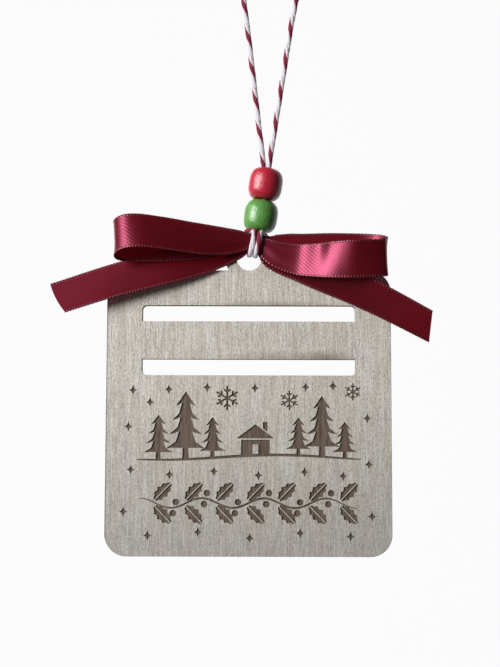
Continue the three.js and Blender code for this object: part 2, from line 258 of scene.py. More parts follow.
def sanded_maple():
    # Sanded maple ply: pale grey beige, with fine upright lines and flecks, soft warm and cool bands, dark
    # pores, painted shade that darkens it towards the foot, a thin dark line along the left edge, and smoke
    # stains at the slots. The lines and flecks are drawn coarser than the real ones so that they show.
    material, tree, principled = new_material("sanded_maple", roughness=0.72)
    at = add(tree, "TexCoord").outputs["Object"]
    line_at = add(tree, "Mapping", {"Vector": at, "Scale": per_mm(0.42, 0.42, 7)})
    line = add(tree, "TexNoise", {"Vector": line_at.outputs[0], "Scale": 1, "Detail": 3, "Roughness": 0.6})
    fleck_at = add(tree, "Mapping", {"Vector": at, "Scale": per_mm(0.36, 0.36, 0.9)})
    fleck = add(tree, "TexNoise", {"Vector": fleck_at.outputs[0], "Scale": 1, "Detail": 3, "Roughness": 0.65})
    fibre = add(tree, "Mix", {0: 0.6, 2: line.outputs[0], 3: fleck.outputs[0]})
    band_at = add(tree, "Mapping", {"Vector": at, "Scale": per_mm(2.2, 2.2, 26)})
    band = add(tree, "TexNoise", {"Vector": band_at.outputs[0], "Scale": 1, "Detail": 3, "Distortion": 0.4})
    pore_at = add(tree, "Mapping", {"Vector": at, "Scale": per_mm(0.3, 0.3, 1.8)})
    pore = add(tree, "TexNoise", {"Vector": pore_at.outputs[0], "Scale": 1, "Detail": 1})
    place = add(tree, "SeparateXYZ", {"Vector": at})
    fibre_share = add(tree, "MapRange", {"Value": fibre.outputs[0], "From Min": 0.37, "From Max": 0.63})
    band_share = add(tree, "MapRange", {"Value": band.outputs[0], "From Min": 0.35, "From Max": 0.65})
    pore_share = add(tree, "MapRange", {"Value": pore.outputs[0], "From Min": 0.6, "From Max": 0.75,
                                        "To Max": 0.4})
    # Painted shade: the face is darkened towards the foot, where the light falls off, as shade put into its
    # colour
    painted_shade_share = add(tree, "MapRange", {"Value": place.outputs["Z"], "From Min": placed(0, 0, SHADE_TOP).z,
                                        "From Max": placed(0, 0, SHADE_FOOT).z, "To Max": 0.36})
    bands = add(tree, "Mix", {0: band_share.outputs[0], 6: hex_colour("#ece8e2"), 7: hex_colour("#e0d7ca")},
                data_type="RGBA")
    fibres = add(tree, "Mix", {0: fibre_share.outputs[0], 6: bands.outputs[2], 7: hex_colour("#a09a90")},
                 data_type="RGBA")
    pores = add(tree, "Mix", {0: pore_share.outputs[0], 6: fibres.outputs[2], 7: hex_colour("#8a7e70")},
                data_type="RGBA")
    painted_shade_mix = add(tree, "Mix", {0: painted_shade_share.outputs[0], 6: pores.outputs[2], 7: hex_colour("#686665")},
                 data_type="RGBA")
    # A thin dark line along the tag's left edge
    left_edge_line_share = add(tree, "MapRange", {"Value": place.outputs["X"], "From Max": tag_low.x,
                                          "From Min": tag_low.x + LEFT_EDGE_LINE_WIDTH * MM, "To Max": 0.8})
    scorched = add(tree, "Mix", {0: left_edge_line_share.outputs[0], 6: painted_shade_mix.outputs[2], 7: hex_colour("#453a33")},
                   data_type="RGBA")
    stained = scorched
    for x, z, reach, rise, strength in SMOKE_STAINS:
        scale = Vector(per_mm(reach, TAG_THICKNESS, rise))
        middle = placed(x, 0, z)
        middle.y = tag_low.y
        stain_at = add(tree, "Mapping", {"Vector": at, "Scale": scale, "Location": -middle * scale})
        away = add(tree, "VectorMath", {0: stain_at.outputs[0]}, operation="LENGTH")
        smoke = add(tree, "MapRange", {"Value": away.outputs["Value"], "To Min": strength, "To Max": 0})
        stained = add(tree, "Mix", {0: smoke.outputs[0], 6: stained.outputs[2], 7: hex_colour("#625434")},
                      data_type="RGBA")
    tree.links.new(stained.outputs[2], principled.inputs["Base Color"])
    bump = add(tree, "Bump", {"Height": fibre.outputs[0], "Strength": 0.3, "Distance": 0.1 * MM})
    tree.links.new(bump.outputs[0], principled.inputs["Normal"])
    return material


def charred_edge():
    # Laser-cut ply edge: charred brown, with the plies as bands and fine streaks through the thickness
    material, tree, principled = new_material("laser_cut_edge", roughness=0.8)
    at = add(tree, "TexCoord").outputs["Object"]
    ply_at = add(tree, "Mapping", {"Vector": at, "Scale": per_mm(40, 1, 40)})
    ply = add(tree, "TexNoise", {"Vector": ply_at.outputs[0], "Scale": 1, "Detail": 1})
    streak_at = add(tree, "Mapping", {"Vector": at, "Scale": per_mm(0.35, 6, 0.35)})
    streak = add(tree, "TexNoise", {"Vector": streak_at.outputs[0], "Scale": 1, "Detail": 3})
    streak_share = add(tree, "MapRange", {"Value": streak.outputs[0], "From Min": 0.3, "From Max": 0.7})
    plies = add(tree, "Mix", {0: ply.outputs[0], 6: hex_colour("#5a4536"), 7: hex_colour("#8b705a")},
                data_type="RGBA")
    streaks = add(tree, "Mix", {0: streak_share.outputs[0], 6: plies.outputs[2], 7: hex_colour("#46362b")},
                  data_type="RGBA")
    tree.links.new(streaks.outputs[2], principled.inputs["Base Color"])
    bump = add(tree, "Bump", {"Height": streak.outputs[0], "Strength": 0.3, "Distance": 0.1 * MM})
    tree.links.new(bump.outputs[0], principled.inputs["Normal"])
    return material


def burnt_floor():
    # Floor of the laser engraving: brown burnt wood that keeps the grain's upright streaks
    material, tree, principled = new_material("engraved_floor", roughness=0.85)
    at = add(tree, "TexCoord").outputs["Object"]
    grain_at = add(tree, "Mapping", {"Vector": at, "Scale": per_mm(0.7, 0.7, 7)})
    grain = add(tree, "TexNoise", {"Vector": grain_at.outputs[0], "Scale": 1, "Detail": 4, "Roughness": 0.6})
    share = add(tree, "MapRange", {"Value": grain.outputs[0], "From Min": 0.3, "From Max": 0.72})
    colour = add(tree, "Mix", {0: share.outputs[0], 6: hex_colour("#76675a"), 7: hex_colour("#4b3d33")},
                 data_type="RGBA")
    tree.links.new(colour.outputs[2], principled.inputs["Base Color"])
    bump = add(tree, "Bump", {"Height": grain.outputs[0], "Strength": 0.4, "Distance": 0.15 * MM})
    tree.links.new(bump.outputs[0], principled.inputs["Normal"])
    return material


def char_and_shade_wall():
    # Wall of the laser engraving: nearly black with a little brown, partly the char of the burn and partly
    # painted shade in the recess
    material, tree, principled = new_material("engraved_wall_char_and_shade", roughness=0.9)
    at = add(tree, "TexCoord").outputs["Object"]
    char_at = add(tree, "Mapping", {"Vector": at, "Scale": per_mm(0.5, 0.5, 0.5)})
    char = add(tree, "TexNoise", {"Vector": char_at.outputs[0], "Scale": 1, "Detail": 2})
    colour = add(tree, "Mix", {0: char.outputs[0], 6: hex_colour("#2a1f19"), 7: hex_colour("#463629")},
                 data_type="RGBA")
    tree.links.new(colour.outputs[2], principled.inputs["Base Color"])
    return material


def satin():
    # Woven polyester satin: a deep dyed ground under long floats, whose shine is pinker than the ground and
    # spreads in bands across the strip. The twill lines are drawn coarser than the real ones so that they
    # show.
    THREAD_LENGTH, THREAD_WIDTH = 4, 0.35
    TWILL_SPACING = 1.05
    TWILL_ANGLE = math.radians(50)
    material, tree, principled = new_material(
        "burgundy_satin", roughness=0.4, IOR=2.35, specular_tint=hex_colour("#ff7fa8"), anisotropic=0.4,
        anisotropic_rotation=0.25)
    uv = add(tree, "UVMap", uv_map="strip").outputs[0]
    thread_at = add(tree, "Mapping", {"Vector": uv, "Scale": (1 / THREAD_LENGTH, 1 / THREAD_WIDTH, 1)})
    thread = add(tree, "TexNoise", {"Vector": thread_at.outputs[0], "Scale": 1, "Detail": 3})
    twill_at = add(tree, "Mapping", {"Vector": uv, "Rotation": (0, 0, TWILL_ANGLE)})
    twill = add(tree, "TexWave", {"Vector": twill_at.outputs[0], "Scale": 2 * math.pi / (20 * TWILL_SPACING),
                                  "Distortion": 0.8, "Detail": 1})
    weave = add(tree, "Mix", {0: 0.55, 2: thread.outputs[0], 3: twill.outputs[1]})
    share = add(tree, "MapRange", {"Value": weave.outputs[0], "From Min": 0.25, "From Max": 0.75})
    colour = add(tree, "Mix", {0: share.outputs[0], 6: hex_colour("#52070a"), 7: hex_colour("#660d13")},
                 data_type="RGBA")
    tree.links.new(colour.outputs[2], principled.inputs["Base Color"])
    bump = add(tree, "Bump", {"Height": weave.outputs[0], "Strength": 0.5, "Distance": 0.07 * MM})
    tree.links.new(bump.outputs[0], principled.inputs["Normal"])
    tangent = add(tree, "Tangent", direction_type="UV_MAP", uv_map="strip")
    tree.links.new(tangent.outputs[0], principled.inputs["Tangent"])
    passing = add(tree, "BsdfTranslucent", {"Color": hex_colour("#d04450")})
    cloth = add(tree, "MixShader", {0: 0.24, 1: principled.outputs[0], 2: passing.outputs[0]})
    tree.links.new(cloth.outputs[0], tree.nodes["Material Output"].inputs["Surface"])
    return material


def sealed_end():
    # Ribbon's cut end, sealed with heat: dark, matt and a little ragged
    material, tree, principled = new_material("heat_sealed_end", roughness=0.9, specular_ior_level=0.2)
    at = add(tree, "TexCoord").outputs["Object"]
    rag_at = add(tree, "Mapping", {"Vector": at, "Scale": per_mm(0.5, 0.5, 0.5)})
    rag = add(tree, "TexNoise", {"Vector": rag_at.outputs[0], "Scale": 1, "Detail": 2})
    colour = add(tree, "Mix", {0: rag.outputs[0], 6: hex_colour("#3a070b"), 7: hex_colour("#5c1118")},
                 data_type="RGBA")
    tree.links.new(colour.outputs[2], principled.inputs["Base Color"])
    return material


def selvedge_thread():
    # Bright polyester thread where the weft turns back at the ribbon's edges: each stitch shines where the
    # ribbon does, and the hollow between two stitches is painted dark, as painted shade between the stitches.
    # The stitches are drawn coarser than the real ones so that they show.
    material, tree, principled = new_material("selvedge_thread", roughness=0.42,
                                              specular_tint=hex_colour("#ffb4c6"))
    uv = add(tree, "UVMap", uv_map="stitches").outputs[0]
    along = add(tree, "SeparateXYZ", {"Vector": uv}).outputs["X"]
    wave = add(tree, "Math", {0: along, 1: 2 * math.pi}, operation="MULTIPLY")
    crest = add(tree, "Math", {0: wave.outputs[0]}, operation="COSINE")
    share = add(tree, "MapRange", {"Value": crest.outputs[0], "From Min": -0.4, "From Max": 0.6})
    # Painted shade: the hollows between the stitches get a darker colour than the crests
    colour = add(tree, "Mix", {0: share.outputs[0], 6: hex_colour("#3c0507"), 7: hex_colour("#6e2430")},
                 data_type="RGBA")
    tree.links.new(colour.outputs[2], principled.inputs["Base Color"])
    shine = add(tree, "MapRange", {"Value": share.outputs[0], "To Min": 1.1, "To Max": 2.2})
    tree.links.new(shine.outputs[0], principled.inputs["IOR"])
    return material


def bead_paint(name, main, deep):
    # Painted turned wood: satin paint that follows the wood's fine pores, a little uneven in its tone. The
    # pores are drawn coarser than the real ones so that they show.
    material, tree, principled = new_material(name, roughness=0.28, specular_ior_level=0.8)
    at = add(tree, "TexCoord").outputs["Object"]
    cloud_at = add(tree, "Mapping", {"Vector": at, "Scale": per_mm(2.5, 2.5, 2.5)})
    cloud = add(tree, "TexNoise", {"Vector": cloud_at.outputs[0], "Scale": 1, "Detail": 3})
    pore_at = add(tree, "Mapping", {"Vector": at, "Scale": per_mm(0.5, 0.5, 0.5)})
    pore = add(tree, "TexNoise", {"Vector": pore_at.outputs[0], "Scale": 1, "Detail": 2})
    tone = add(tree, "Mix", {0: 0.7, 2: cloud.outputs[0], 3: pore.outputs[0]})
    share = add(tree, "MapRange", {"Value": tone.outputs[0], "From Min": 0.35, "From Max": 0.65})
    colour = add(tree, "Mix", {0: share.outputs[0], 6: hex_colour(main), 7: hex_colour(deep)},
                 data_type="RGBA")
    tree.links.new(colour.outputs[2], principled.inputs["Base Color"])
    bump = add(tree, "Bump", {"Height": pore.outputs[0], "Strength": 1, "Distance": 0.16 * MM})
    tree.links.new(bump.outputs[0], principled.inputs["Normal"])
    return material


def cotton_ply(name, main, deep):
    # Cotton yarn: matt, with fibres that run slanting round the ply as fine lines, and light that soaks
    # through it. The fibres are drawn coarser than the real ones so that they show.
    FIBRE_LENGTH, FIBRE_WIDTH = 1.6, 0.22
    FIBRE_SLANT = math.radians(-32)
    material, tree, principled = new_material(name, roughness=0.85, sheen_weight=0.25, sheen_roughness=0.5)
    uv = add(tree, "UVMap", uv_map="yarn").outputs[0]
    fibre_at = add(tree, "Mapping", {"Vector": uv, "Rotation": (0, 0, FIBRE_SLANT),
                                     "Scale": (1 / FIBRE_LENGTH, 1 / FIBRE_WIDTH, 1)})
    fibre = add(tree, "TexNoise", {"Vector": fibre_at.outputs[0], "Scale": 1, "Detail": 3})
    share = add(tree, "MapRange", {"Value": fibre.outputs[0], "From Min": 0.35, "From Max": 0.7})
    colour = add(tree, "Mix", {0: share.outputs[0], 6: hex_colour(main), 7: hex_colour(deep)},
                 data_type="RGBA")
    tree.links.new(colour.outputs[2], principled.inputs["Base Color"])
    bump = add(tree, "Bump", {"Height": fibre.outputs[0], "Strength": 0.3, "Distance": 0.1 * MM})
    tree.links.new(bump.outputs[0], principled.inputs["Normal"])
    passing = add(tree, "BsdfTranslucent", {"Color": hex_colour(main)})
    yarn = add(tree, "MixShader", {0: 0.35, 1: principled.outputs[0], 2: passing.outputs[0]})
    tree.links.new(yarn.outputs[0], tree.nodes["Material Output"].inputs["Surface"])
    return material


wood = sanded_maple()
cut_edge = charred_edge()
engraved = burnt_floor()
engraved_wall_char_and_shade = char_and_shade_wall()
satin_weave = satin()
cut_end = sealed_end()
selvedge = selvedge_thread()
red_paint = bead_paint("red_bead_paint", "#cf2a42", "#ac1f35")
green_paint = bead_paint("green_bead_paint", "#6caa54", "#4f853c")
white_ply = cotton_ply("white_cotton", "#faf9fd", "#e4e1ea")
red_ply = cotton_ply("burgundy_cotton", "#a83250", "#7c1d3a")


# Engraving: outlines in mm, drawn about their own middle or foot

def fir_outline(height, width, tiers=4):
    """Fir tree on its foot, with drooping tiers and a short trunk."""
    right = [(0, height)]
    for i in range(1, tiers + 1):
        reach = width / 2 * (0.32 + 0.68 * i / tiers)
        low = height * (1 - 0.85 * i / tiers)
        right += [(0.5 * reach, low + 0.1 * height), (reach, low), (0.7 * reach, low + 0.012 * height),
                  (0.4 * reach, low + 0.04 * height)]
    right[-1] = (0.07 * width, height * 0.16)
    right.append((0.085 * width, 0))
    return right + [(-x, z) for x, z in reversed(right[1:])]


def star_outline(width, height):
    """Four-pointed sparkle with hollow sides."""
    STEPS = 28
    HOLLOW = 3.9
    outline = []
    for i in range(STEPS):
        turn = 2 * math.pi * i / STEPS
        c, s = math.cos(turn), math.sin(turn)
        outline.append((width / 2 * math.copysign(abs(c) ** HOLLOW, c),
                        height / 2 * math.copysign(abs(s) ** HOLLOW, s)))
    return outline


def snowflake_outline(radius):
    """Six-armed snowflake, each arm with a pair of slanting twigs."""
    bar = 0.075 * radius
    half_arm = [(0.18 * radius, bar), (0.46 * radius, bar), (0.64 * radius, 0.31 * radius),
                (0.77 * radius, 0.25 * radius), (0.66 * radius, bar), (radius, bar)]
    arm = [(a, -b) for a, b in half_arm] + [(a, b) for a, b in reversed(half_arm)]
    outline = []
    for k in range(6):
        turn = math.pi * (k / 3 + 0.5)
        c, s = math.cos(turn), math.sin(turn)
        outline += [(a * c - b * s, a * s + b * c) for a, b in arm]
    return outline


def leaf_half(length, width, side, spines=4):
    """Half of a spiny leaf along +X from its base, a little off its midrib."""
    STEPS = 24
    RIB = 0.18
    edge = []
    for i in range(1, STEPS):
        t = i / STEPS
        reach = width / 2 * math.sin(math.pi * t) ** 0.7 * (1 - 0.32 * abs(math.sin(math.pi * spines * t)))
        edge.append((length * t, side * (RIB + reach)))
    return [(0.3, side * RIB)] + edge + [(length, side * RIB)]


def berry_outline(radius):
    """Round berry."""
    STEPS = 20
    turns = [2 * math.pi * i / STEPS for i in range(STEPS)]
    return [(radius * math.cos(turn), radius * math.sin(turn)) for turn in turns]


def wavy_band(start, end, thickness, rise):
    """Band along X from start to end that tapers to both ends, about the line z = rise(x)."""
    STEPS = 48
    upper, lower = [], []
    for i in range(STEPS + 1):
        share = i / STEPS
        x = start + (end - start) * share
        half = thickness / 2 * (0.25 + 0.75 * math.sin(math.pi * share) ** 0.5)
        upper.append((x, rise(x) + half))
        lower.append((x, rise(x) - half))
    return upper + lower[::-1]


def cabin_outlines():
    """Log cabin on its foot: a wall with a door and two windows left bare, a roof and a chimney."""
    wall = [(-5, 0), (-1, 0), (-1, 3.6), (1, 3.6), (1, 0), (5, 0), (5, 5.2), (-5, 5.2)]
    roof = [(-6.6, 5.7), (6.6, 5.7), (0, 10.6)]
    chimney = [(2.6, 9.2), (2.6, 11.4), (4.2, 11.4), (4.2, 8)]
    return [wall, roof, chimney]


def moved(outline, x, z, turn=0.0):
    """An outline turned by some degrees and moved to a place on the tag."""
    c, s = math.cos(math.radians(turn)), math.sin(math.radians(turn))
    return [(x + c * a - s * b, z + s * a + c * b) for a, b in outline]


GROUND = -70.2
GROUND_REACH = 39
GROUND_THICKNESS = 1
GROUND_SWELL = 0.9
FOOT_RISE = 0.2
# Each fir's place, height and width
FIRS = (
    (-31.5, 15.5, 10.5), (-22, 23.5, 14), (-12.6, 14, 9.5), (17.4, 13, 9), (25.6, 21, 13), (33.6, 12.5, 9),
)
CABIN_X = 2.4
# Each snowflake's place and radius
SNOWFLAKES = ((-7.5, -49.5, 4.3), (14.2, -50.2, 3.4), (36.5, -47.2, 3))
GARLAND_Z = -86
GARLAND_REACH = 38
STEM_THICKNESS = 0.8
STEM_SWELL = 1.7
SPRIG_SPACING = 10.8
LEAF_LENGTH, LEAF_WIDTH = 8.4, 4.6
LEAF_TURN = 46
LEAF_BACK, LEAF_LIFT = 0.4, 0.9
BERRY_RADIUS = 1.15
BERRY_PLACE = 0.62
BERRY_STAGGER, BERRY_LIFT = 0.5, 1.9
SPARKLE_WIDTH, SPARKLE_HEIGHT = 3.6, 4.6
SPARKLES = (
    (-40.5, -46.8), (-34.5, -51), (-28, -46.5), (-14.5, -45.8), (2.2, -46), (20, -45.6), (29.5, -45.2),
    (-42, -59.5), (41.5, -56.5), (-41, -74.5), (-27.5, -76.2), (-12, -75), (3.5, -76.4), (19.5, -75.2),
    (33, -76.6), (42, -72.5), (-35, -97.2), (-17.5, -96), (0.5, -98), (18, -96.3), (35.5, -97.4), (43, -90.5),
    (-43.5, -89),
)


def ground_rise(x):
    """Height of the rolling ground."""
    return GROUND + GROUND_SWELL * math.sin(x / 13 + 0.8)


def garland_rise(x):
    """Height of the garland's waving stem."""
    return GARLAND_Z + STEM_SWELL * math.sin(math.pi * x / SPRIG_SPACING)


def garland_outlines():
    """Stem with leaf pairs along it and berries between them."""
    outlines = [wavy_band(-GARLAND_REACH, GARLAND_REACH, STEM_THICKNESS, garland_rise)]
    sprigs = round(2 * GARLAND_REACH / SPRIG_SPACING)
    for i in range(sprigs):
        x = SPRIG_SPACING * (i - (sprigs - 1) / 2)
        for side in (1, -1):
            base = garland_rise(x)
            for half in (1, -1):
                leaf = leaf_half(LEAF_LENGTH, LEAF_WIDTH, half)
                outlines.append(moved(leaf, x - LEAF_BACK, base + side * LEAF_LIFT, side * LEAF_TURN))
        berry_x = x + BERRY_PLACE * SPRIG_SPACING
        if i < sprigs - 1:
            for side in (1, -1):
                berry = berry_outline(BERRY_RADIUS)
                berry_z = garland_rise(berry_x) + BERRY_LIFT * side
                outlines.append(moved(berry, berry_x + BERRY_STAGGER * side, berry_z))
    return outlines


def engraving_outlines():
    """All the outlines, in their places on the tag."""
    outlines = [moved(fir_outline(h, w), x, ground_rise(x) + FOOT_RISE) for x, h, w in FIRS]
    outlines += [moved(outline, CABIN_X, ground_rise(CABIN_X) + FOOT_RISE) for outline in cabin_outlines()]
    outlines += [moved(snowflake_outline(r), x, z) for x, z, r in SNOWFLAKES]
    outlines.append(wavy_band(-GROUND_REACH, GROUND_REACH, GROUND_THICKNESS, ground_rise))
    outlines += garland_outlines()
    outlines += [moved(star_outline(SPARKLE_WIDTH, SPARKLE_HEIGHT), x, z) for x, z in SPARKLES]
    return outlines


def engraving_cutter():
    """Prisms of all the outlines, from clear of the tag's front to the engraving's floor."""
    CLEAR = 0.5
    FLAT = 0.5
    bm = bmesh.new()
    floor_y = tag_low.y + ENGRAVE_DEPTH * MM
    for outline in engraving_outlines():
        corners = [Vector((hole.x + x * MM, floor_y, hole.z + z * MM)) for x, z in outline]
        face = bm.faces.new([bm.verts.new(corner) for corner in corners])
        made = bmesh.ops.extrude_face_region(bm, geom=[face])["geom"]
        top = [v for v in made if isinstance(v, bmesh.types.BMVert)]
        bmesh.ops.translate(bm, verts=top, vec=(0, -(ENGRAVE_DEPTH + CLEAR) * MM, 0))
    bmesh.ops.recalc_face_normals(bm, faces=bm.faces)
    for face in bm.faces:
        face.material_index = 0 if abs(face.normal.y) > FLAT else 1
    mesh = mesh_of(bm, "engraving_cutter", smooth=False)
    return new_piece("engraving_cutter", mesh, (engraved, engraved_wall_char_and_shade))


def engraved_tag():
    """The tag with softened edges, scorched walls and the engraving cut into its front."""
    SHARP = math.radians(50)
    LEVEL = 0.01
    FLAT = 0.3
    bm = bmesh.new()
    bm.from_mesh(frame["nodes"]["tag_plate"].data)
    bmesh.ops.remove_doubles(bm, verts=bm.verts, dist=MERGE_DISTANCE)
    bmesh.ops.dissolve_limit(bm, angle_limit=math.radians(1), verts=bm.verts, edges=bm.edges)
    rims = [edge for edge in bm.edges if edge.is_manifold and edge.calc_face_angle() > SHARP
            and abs(edge.verts[0].co.y - edge.verts[1].co.y) < LEVEL * MM]
    bmesh.ops.bevel(bm, geom=rims, offset=EDGE_BEVEL * MM, affect="EDGES", segments=2, profile=0.5,
                    material=-1)
    bm.normal_update()
    for face in bm.faces:
        face.material_index = 0 if abs(face.normal.y) > FLAT else 1
    tag = new_piece("engraved_tag", mesh_of(bm, "engraved_tag", smooth=False), (wood, cut_edge))
    cutter = engraving_cutter()
    cut = tag.modifiers.new("engraving", "BOOLEAN")
    cut.operation = "DIFFERENCE"
    cut.solver = "EXACT"
    cut.use_self = True
    cut.material_mode = "TRANSFER"
    cut.object = cutter
    result = bpy.data.meshes.new_from_object(tag.evaluated_get(bpy.context.evaluated_depsgraph_get()))
    tag.modifiers.clear()
    tag.data = result
    bpy.data.objects.remove(cutter)
    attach(tag, "tag")
    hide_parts("tag_plate")


# Beads

def turned_bead(node, paint):
    """Barrel bead with a rounded mouth at each end of its bore, on the leaning stack's axis."""
    PROFILE_STEPS = 28
    TURN_STEPS = 72
    ROUNDING = 0.3 * BEAD_MOUTH
    radius, bore = BEAD_DIAMETER / 2, bead_bore / 2
    mouth = bore + BEAD_MOUTH
    drawn_in = (1 - (mouth / radius) ** BEAD_FULLNESS) ** (1 / BEAD_FULLNESS)
    crown = BEAD_HEIGHT / 2 / drawn_in
    end = math.asin(drawn_in ** (BEAD_FULLNESS / 2))
    profile = [(bore, -BEAD_HEIGHT / 2 + BEAD_MOUTH), (bore + ROUNDING, -BEAD_HEIGHT / 2 + ROUNDING)]
    for i in range(PROFILE_STEPS + 1):
        turn = end * (2 * i / PROFILE_STEPS - 1)
        r = radius * math.cos(turn) ** (2 / BEAD_FULLNESS)
        z = crown * math.copysign(abs(math.sin(turn)) ** (2 / BEAD_FULLNESS), turn)
        profile.append((r, z))
    profile += [(r, -z) for r, z in reversed(profile[:2])]
    bm = bmesh.new()
    verts = [bm.verts.new((r * MM, 0, z * MM)) for r, z in profile]
    edges = [bm.edges.new((a, b)) for a, b in zip(verts, verts[1:] + verts[:1])]
    bmesh.ops.spin(bm, geom=verts + edges, cent=(0, 0, 0), axis=(0, 0, 1), angle=2 * math.pi,
                   steps=TURN_STEPS, use_merge=True)
    bmesh.ops.remove_doubles(bm, verts=bm.verts, dist=MERGE_DISTANCE)
    bmesh.ops.recalc_face_normals(bm, faces=bm.faces)
    low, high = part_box(node)
    lean = Vector((0, 0, 1)).rotation_difference(stack_up).to_matrix().to_4x4()
    bmesh.ops.transform(bm, matrix=Matrix.Translation((low + high) / 2) @ lean, verts=bm.verts)
    bead = new_piece(node + "_painted", mesh_of(bm, node + "_painted"), (paint,), node)
    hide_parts(node)


# Cord: its routes, in mm from the hole's middle

hole_x = -STACK_OFFSET * math.cos(STACK_LEAN)
hole_z = STACK_OFFSET * math.sin(STACK_LEAN)
leg_depth = TAG_THICKNESS / 2 + CLEARANCE + cord_radius
front_depth = WAIST_FRONT - CLEARANCE - cord_radius
bight_depth = leg_depth + CORD_DIAMETER + STRAND_GAP
stack_foot = LUG_RADIUS + BEAD_SEAT
stack_top = stack_foot + 2 * BEAD_HEIGHT + BEAD_GAP


def over_lug(x):
    """Height of the cord's middle where it passes over the lug at x."""
    return hole_z + math.sqrt((LUG_RADIUS + CLEARANCE + cord_radius) ** 2 - (x - hole_x) ** 2)


def under_lug(x):
    """Height of the cord's middle where it lies against the top of the hole at x."""
    return hole_z + math.sqrt((HOLE_RADIUS - CLEARANCE - cord_radius) ** 2 - (x - hole_x) ** 2)


def hitch_half(side):
    """Half of the hitch, from the beads' top through the hole and over the lug, as points of the stack."""
    leg = side * strand_offset
    in_hole = leg + hole_x / 3
    beside = leg + side * STRAND_SPREAD
    waist_foot = WAIST_Z - WAIST_WIDTH / 2 - WAIST_FLARE - CLEARANCE - cord_radius
    return [
        (leg + STRAND_DRIFT, leg_depth, stack_top),
        (leg + STRAND_DRIFT / 2, leg_depth, stack_foot + BEAD_HEIGHT),
        (leg, leg_depth, stack_foot),
        (leg, leg_depth, stack_foot - 2.6),
        (leg, leg_depth, stack_foot - 5.2),
        (in_hole, leg_depth - 0.3, under_lug(in_hole)),
        (in_hole, 0.6, under_lug(in_hole) - 0.7),
        (in_hole, LAYER_DEPTHS[1], waist_foot - 1.1),
        (in_hole + 0.2, front_depth + 0.05, waist_foot),
        (leg, front_depth - 0.1, WAIST_Z - 0.8),
        (leg, front_depth, WAIST_Z + 1.6),
        (leg, front_depth + 0.3, over_lug(leg) - 0.6),
        (leg + side * 0.8, LAYER_DEPTHS[0], over_lug(leg) - 0.05),
        (leg + side * 2.6, 0.1, over_lug(beside) + 0.1),
        (beside, leg_depth - 0.2, over_lug(beside) - 0.2),
        (beside - side * 0.8, bight_depth - 0.55, over_lug(beside) - 0.5),
    ]


def hitch_route():
    """Both halves of the hitch, joined by the bight behind the lug."""
    left, right = hitch_half(-1), hitch_half(1)[::-1]
    bight = (0, bight_depth, (left[-1][2] + right[0][2]) / 2 - 0.1)
    return [stacked(*point) for point in [*left, bight, *right]]


arch_radius = LOOP_SPAN / 2
arch_middle = Vector((LOOP_OFFSET, 0, LOOP_HEIGHT + cord_radius - arch_radius))


def arch_point(turn):
    """A point of the loop's arch, at an angle from its top."""
    return arch_middle + arch_radius * Vector((math.sin(turn), 0, math.cos(turn)))


def loop_leg(side):
    """A leg of the loop, from the red bead up to the arch."""
    LEG_POINTS = 5
    beside = side * strand_offset + STRAND_DRIFT
    foot = stacked(beside, leg_depth, stack_top + CLEARANCE)
    parting = stacked(beside, leg_depth, stack_top + CLEARANCE + cord_radius)
    shoulder = arch_point(side * math.pi / 2)
    return [foot] + [parting.lerp(shoulder, i / LEG_POINTS) for i in range(LEG_POINTS)]


def loop_route():
    """The free loop, from one leg's foot over the arch to the other's."""
    ARCH_STEPS = 8
    arch = [arch_point(math.pi * (i / ARCH_STEPS - 0.5)) for i in range(ARCH_STEPS + 1)]
    return [*loop_leg(-1), *arch, *loop_leg(1)[::-1]]


def cord_frames(path):
    """Two directions square to the path at each of its points, carried along it without turning."""
    side = Vector((0, 1, 0))
    frames = []
    for before, after in zip(path[:1] + path[:-1], path[1:] + path[-1:]):
        along = (after - before).normalized()
        side = (side - along * side.dot(along)).normalized()
        frames.append((side, along.cross(side)))
    return frames


def twisted_cord(name, route, phase, lay=TWIST_LENGTH, spread=BURGUNDY_SPREAD):
    """Three plies wound round a route, as one mesh with a material for each colour, and the route's points.

    Each ply is pressed against the others, and its skin has the ridges of the yarns that it is spun from.
    """
    PLIES = 3
    COLOURS = (0, 0, 1)
    STEP = 0.3
    SIDES = 18
    YARNS = 4
    YARN_LAY = 4.2
    OUT, DEEP, RIDGE = 0.55, 0.52, 0.03
    WIDE = (WHITE_SPREAD, WHITE_SPREAD, spread)
    path = path_through(route, STEP)
    frames = cord_frames(path)
    bm = bmesh.new()
    uv = bm.loops.layers.uv.new("yarn")
    for ply in range(PLIES):
        made = bmesh.ops.create_grid(bm, x_segments=len(path) - 1, y_segments=SIDES, size=1)["verts"]
        skin = {face for vert in made for face in vert.link_faces}
        for face in skin:
            face.material_index = COLOURS[ply]
            for corner in face.loops:
                flat = corner.vert.co
                corner[uv].uv = ((flat.x + 1) / 2 * (len(path) - 1) * STEP, (flat.y + 1) * cord_radius * 2)
        for vert in made:
            i = round((vert.co.x + 1) / 2 * (len(path) - 1))
            round_ply = math.pi * (vert.co.y + 1)
            wound = phase + 2 * math.pi * ((ply - 0.5) / PLIES - i * STEP / lay)
            ridge = 1 + RIDGE * math.cos(YARNS * round_ply + 2 * math.pi * i * STEP / YARN_LAY)
            outward = cord_radius * (OUT + DEEP * ridge * math.cos(round_ply))
            aside = cord_radius * WIDE[ply] * ridge * math.sin(round_ply)
            across, other = frames[i]
            place = (path[i] + across * (outward * math.cos(wound) - aside * math.sin(wound))
                     + other * (outward * math.sin(wound) + aside * math.cos(wound)))
            vert.co = placed(*place)
    close_tubes(bm)
    return mesh_of(bm, name), [placed(*point) for point in path]


def hitch():
    """The cord from the beads round the lug, which ties the bow to it."""
    mesh, _ = twisted_cord("twisted_hitch", hitch_route(), HITCH_PHASE, HITCH_TWIST_LENGTH,
                           HITCH_BURGUNDY_SPREAD)
    cord = new_piece("twisted_hitch", mesh, (white_ply, red_ply), "hanger")
    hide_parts("hitch_cord")


